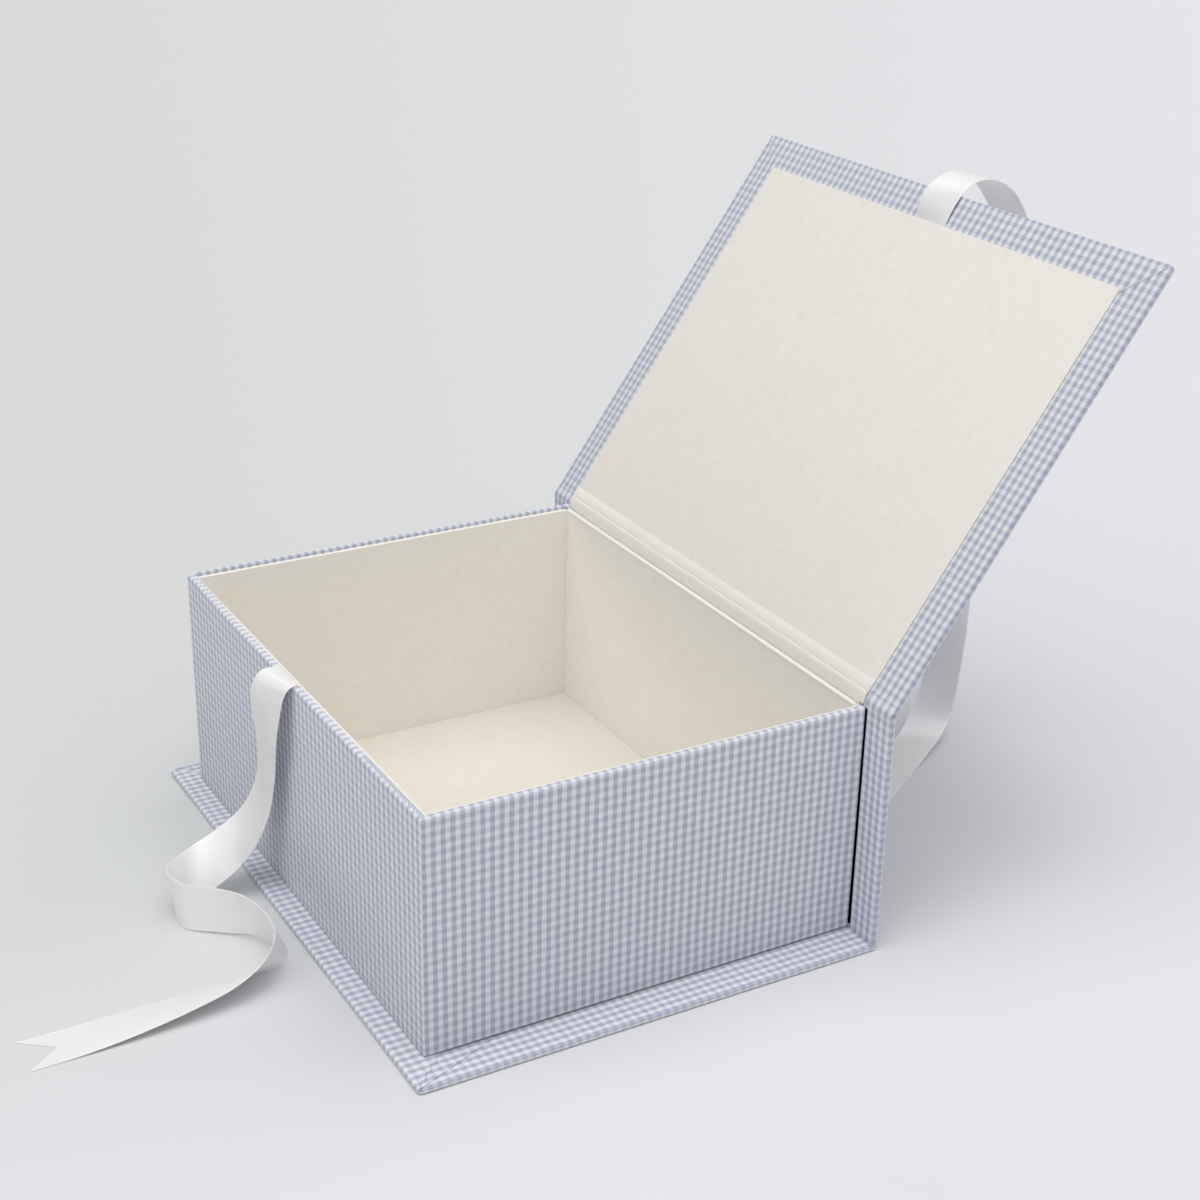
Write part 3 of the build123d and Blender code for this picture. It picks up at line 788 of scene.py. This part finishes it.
def ribbon(name, stations):
    """A ribbon through its stations: a centre point and the direction across, in millimetres."""
    course = smooth_course(stations, 1.8)
    reach = [0.0]
    for (a, _), (b, _) in zip(course, course[1:]):
        reach.append(reach[-1] + (b - a).length)
    whole = reach[-1]

    def at(length):
        i = max(k for k in range(len(reach) - 1) if reach[k] <= length or k == 0)
        t = (length - reach[i]) / (reach[i + 1] - reach[i])
        return course[i][0].lerp(course[i + 1][0], t), course[i][1].lerp(course[i + 1][1], t)

    # The rows before the notch are square, and the last ones slant to its two points
    columns, notched = 16, whole - NOTCH - 3
    verts, faces, spreads = [], [], []
    for length in reach:
        for k in range(columns + 1):
            share = k / columns * 2 - 1
            reached = length
            if length > notched:
                end = whole - NOTCH * (1 - abs(share))
                reached = notched + (length - notched) * (end - notched) / (whole - notched)
            point, across = at(reached)
            verts.append((point + across * (share * RIBBON_WIDTH / 2)) * MM)
            spreads.append((share * RIBBON_WIDTH / 2, reached))
    for i in range(len(reach) - 1):
        for k in range(columns):
            a = i * (columns + 1) + k
            faces.append((a, a + 1, a + columns + 2, a + columns + 1))
    mesh = bpy.data.meshes.new(name)
    mesh.from_pydata(verts, [], faces)
    layer = mesh.uv_layers.new(name="Cloth")
    for loop in mesh.loops:
        layer.data[loop.index].uv = spreads[loop.vertex_index]
    piece = bpy.data.objects.new(name, mesh)
    bpy.context.collection.objects.link(piece)
    pick(piece, "FACE", lambda middle, facing: True)
    bpy.ops.object.mode_set(mode="OBJECT")
    solid = piece.modifiers.new("thickness", "SOLIDIFY")
    solid.thickness = RIBBON_THICKNESS * MM
    solid.offset = 0
    bpy.ops.object.modifier_apply(modifier=solid.name)
    return piece, whole


# A station is a centre point and the way across the ribbon there. Its Y is from the tray's front.
front_course = [
    ((-8.7, 3.45, 105.3), (-1, 0, 0)),
    ((-8.7, 3.45, 134.9), (-1, 0, 0)),
    ((-8.7, 3.2, 135.5), (-1, 0, 0)),
    ((-8.7, 0.2, 135.8), (-1.00, -0.02, 0.01)),
    ((-8.6, -2.7, 135.7), (-0.99, -0.07, 0.05)),
    ((-8.5, -5.8, 134.2), (-0.98, -0.12, 0.11)),
    ((-8.6, -8.2, 131.0), (-0.97, -0.18, 0.17)),
    ((-9.6, -10.1, 124.0), (-0.94, -0.23, 0.23)),
    ((-12.8, -10.3, 109.1), (-0.96, -0.13, 0.24)),
    ((-20.2, -7.7, 82.0), (-0.96, 0.02, 0.26)),
    ((-28.1, -9.1, 54.7), (-0.96, 0.06, 0.28)),
    ((-33.6, -15.2, 37.9), (-0.94, -0.03, 0.33)),
    ((-35.9, -20.7, 30.6), (-0.91, -0.13, 0.40)),
    ((-37.6, -27.4, 24.4), (-0.83, -0.24, 0.50)),
    ((-38.4, -35.1, 19.5), (-0.71, -0.33, 0.63)),
    ((-37.8, -43.4, 15.9), (-0.54, -0.38, 0.76)),
    ((-35.3, -51.7, 13.8), (-0.35, -0.35, 0.87)),
    ((-29.9, -59.0, 13.3), (-0.19, -0.22, 0.96)),
    ((-21.7, -62.6, 13.4), (-0.10, -0.06, 0.99)),
    ((-12.6, -61.2, 13.7), (-0.10, 0.02, 0.99)),
    ((1.1, -48.4, 14.6), (-0.09, 0.00, 1.00)),
    ((14.5, -35.4, 15.2), (0.04, -0.15, 0.99)),
    ((22.5, -30.7, 15.4), (0.11, -0.27, 0.95)),
    ((31.3, -27.6, 15.2), (0.14, -0.37, 0.92)),
    ((40.6, -27.0, 14.4), (0.16, -0.38, 0.91)),
    ((48.4, -30.3, 13.0), (0.28, -0.24, 0.93)),
    ((53.0, -37.3, 11.3), (0.52, -0.07, 0.85)),
    ((55.5, -45.6, 9.1), (0.73, 0.02, 0.68)),
    ((57.1, -54.4, 7.3), (0.84, 0.06, 0.54)),
    ((58.4, -63.4, 6.0), (0.90, 0.06, 0.43)),
    ((59.9, -82.1, 4.2), (0.95, 0.04, 0.29)),
    ((60.8, -101.0, 2.7), (0.98, 0.02, 0.18)),
    ((61.4, -124.5, 1.3), (1.00, 0.01, 0.07)),
    ((61.6, -148.0, 0.4), (1.00, 0.00, 0.01)),
    ((61.7, -167.0, 0.3), (1.00, 0.00, 0.00)),
]
satin_weave = satin()
front_ribbon, front_length = ribbon(
    "front_satin_ribbon", [((x, y + TRAY_FRONT, z), w) for (x, y, z), w in front_course]
)
finish(front_ribbon, satin_weave, "box", "front_ribbon")

lid_course = [
    ((0.8, 392.9, 343.7), (1.00, 0.06, -0.03)),
    ((0.6, 397.8, 351.6), (0.99, 0.10, -0.04)),
    ((0.1, 404.8, 357.4), (1.00, 0.07, 0.00)),
    ((-0.4, 413.4, 360.2), (1.00, 0.07, -0.01)),
    ((-1.1, 422.4, 359.8), (1.00, 0.07, 0.00)),
    ((-1.8, 430.7, 356.4), (0.99, 0.10, 0.04)),
    ((-2.3, 437.9, 350.9), (0.98, 0.15, 0.10)),
    ((-2.5, 449.0, 336.7), (0.97, 0.17, 0.13)),
    ((-1.8, 456.0, 320.0), (0.99, 0.10, 0.10)),
    ((0.5, 456.4, 293.2), (0.99, 0.12, 0.06)),
    ((3.2, 448.5, 267.5), (0.94, 0.33, -0.01)),
    ((5.5, 440.0, 242.0), (0.85, 0.52, -0.09)),
    ((5.6, 435.2, 215.1), (0.77, 0.63, -0.10)),
    ((2.0, 435.4, 188.1), (0.70, 0.71, -0.09)),
    ((-8.6, 440.7, 154.0), (0.58, 0.81, -0.02)),
    ((-18.8, 446.6, 119.9), (0.50, 0.86, 0.03)),
    ((-21.8, 449.6, 84.1), (0.69, 0.72, 0.03)),
    ((-17.9, 446.6, 48.6), (0.92, 0.38, 0.08)),
    ((-14.8, 442.4, 31.3), (0.94, 0.33, 0.10)),
    ((-10.2, 434.6, 16.6), (0.89, 0.45, 0.04)),
    ((-2.6, 421.2, 6.6), (0.88, 0.47, 0.06)),
    ((5.9, 405.7, 2.4), (0.87, 0.47, 0.10)),
    ((14.7, 390.2, 0.8), (0.86, 0.51, 0.02)),
    ((33.7, 359.2, 0.3), (0.85, 0.53, 0.00)),
    ((59.0, 318.2, 0.3), (0.85, 0.53, 0.00)),
]
# Its first 30 mm are glued in behind the liner
lid_stations = []
for from_back in (210.3, 240.3):
    y, z = lid_place(from_back, 0.2)
    lid_stations.append(((0.7, y, z), (1, 0, 0)))
lid_stations += [((x, y + TRAY_FRONT, z), w) for (x, y, z), w in lid_course]
lid_ribbon, lid_length = ribbon("lid_satin_ribbon", lid_stations)
finish(lid_ribbon, satin_weave, "lid", "lid_ribbon")
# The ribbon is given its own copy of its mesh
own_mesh(lid_ribbon)

# Room
# A pale seamless sheet to stand on. Most light falls softly from overhead and from in front, less
# from behind and from the right. Painted shade: the sheet's colour is a little warmer and darker to
# the left of the box, where soft shade lies, in a wedge that fades at its sides and opens from a
# point to the right and in front.
bpy.ops.object.select_all(action="DESELECT")
bpy.ops.mesh.primitive_plane_add(size=80, location=(0, 0, 0))
floor = bpy.context.active_object
floor.name = "floor"
paper, tree, shader = new_material("pale backdrop paper", Roughness=0.9)
place = add(tree, "TexCoord", {}).outputs["Object"]
shade_wedge_point = add(tree, "VectorMath", {0: place, 1: (-0.909, 0.462, 0)}, operation="ADD")
turned = add(tree, "TexGradient", {"Vector": shade_wedge_point.outputs[0]}, gradient_type="RADIAL")
# far and past fade the wedge at its two sides, and near at its point
far = add(tree, "MapRange", {"Value": turned.outputs["Fac"], "From Min": 0.96, "From Max": 0.875})
reach = add(tree, "VectorMath", {0: shade_wedge_point.outputs[0]}, operation="LENGTH")
near = add(tree, "MapRange", {"Value": reach.outputs["Value"], "From Min": 1.0, "From Max": 0.72})
past = add(tree, "MapRange", {"Value": turned.outputs["Fac"], "From Min": 0.965, "From Max": 0.998})
either = add(tree, "Math", {0: far.outputs["Result"], 1: near.outputs["Result"]}, operation="MAXIMUM")
share = add(tree, "Math", {0: either.outputs[0], 1: past.outputs["Result"]}, operation="MAXIMUM")
# Painted shade: colour A, the darker one, fills the wedge left of the box, and colour B the rest
mix = add(tree, "Mix", {"Factor": share.outputs[0]}, data_type="RGBA")
mix.inputs["A"].default_value = colour("D7D9D8")
mix.inputs["B"].default_value = colour("E4E4E8")
tree.links.new(mix.outputs["Result"], shader.inputs["Base Color"])
floor.data.materials.append(paper)


def softbox(name, towards, power, spread=60):
    """A wide soft light, far off in the direction towards."""
    bpy.ops.object.light_add(type="SUN", location=[2 * c for c in towards])
    light = bpy.context.active_object
    light.name = name
    light.data.energy = power
    light.data.angle = math.radians(spread)
    light.rotation_euler = Vector(towards).to_track_quat("Z", "Y").to_euler()


softbox("overhead", (0.0, 0.0, 1.0), 1.04)
softbox("overhead_lamp", (0.1, -0.1, 1.0), 0.4, 18)
softbox("behind", (0.0, 0.8, 1.0), 0.5)
softbox("in_front", (0.0, -0.9, 0.9), 0.78)
softbox("right", (1.0, 0.0, 1.0), 0.36)
softbox("right_behind", (0.7, 0.7, 0.7), 0.08)
softbox("beside_camera", (0.9, -0.5, 0.6), 0.25)
softbox("left", (-1.0, 0.0, 0.6), 0.04)
world = bpy.data.worlds.new("room")
bpy.context.scene.world = world
world.use_nodes = True
surround = world.node_tree.nodes["Background"]
surround.inputs["Color"].default_value = colour("F5F5F6")
# Pale where it is seen, and dim as a light
ray = add(world.node_tree, "LightPath", {})
seen = 0.0
for kind in ("Camera", "Glossy", "Transmission"):
    seen = add(world.node_tree, "Math", {0: ray.outputs["Is %s Ray" % kind], 1: seen}).outputs[0]
glow = add(world.node_tree, "Math", {0: seen, 1: 0.6, 2: 0.1}, operation="MULTIPLY_ADD")
world.node_tree.links.new(glow.outputs[0], surround.inputs["Strength"])

# Camera
# To the right of the box and above it, as the photograph was taken, rolled a little to the side.
# The focal length is given in pixels of the 1200 pixel frame, and the roll in radians.
CAMERA_PLACE, CAMERA_AIM = Vector((0.9090, -0.4624, 0.6080)), Vector((0.0, 0.0619, 0.1462))
FOCAL_PIXELS, FRAME_PIXELS, ROLL = 2076.66, 1200, 0.022
bpy.ops.object.camera_add(location=CAMERA_PLACE)
camera = bpy.context.active_object
camera.data.sensor_width = 36
camera.data.lens = FOCAL_PIXELS / FRAME_PIXELS * 36
camera.data.clip_end = 50
facing = (CAMERA_AIM - CAMERA_PLACE).to_track_quat("-Z", "Y").to_matrix()
camera.rotation_euler = (facing @ Matrix.Rotation(ROLL, 3, "Z")).to_euler()
bpy.context.scene.camera = camera
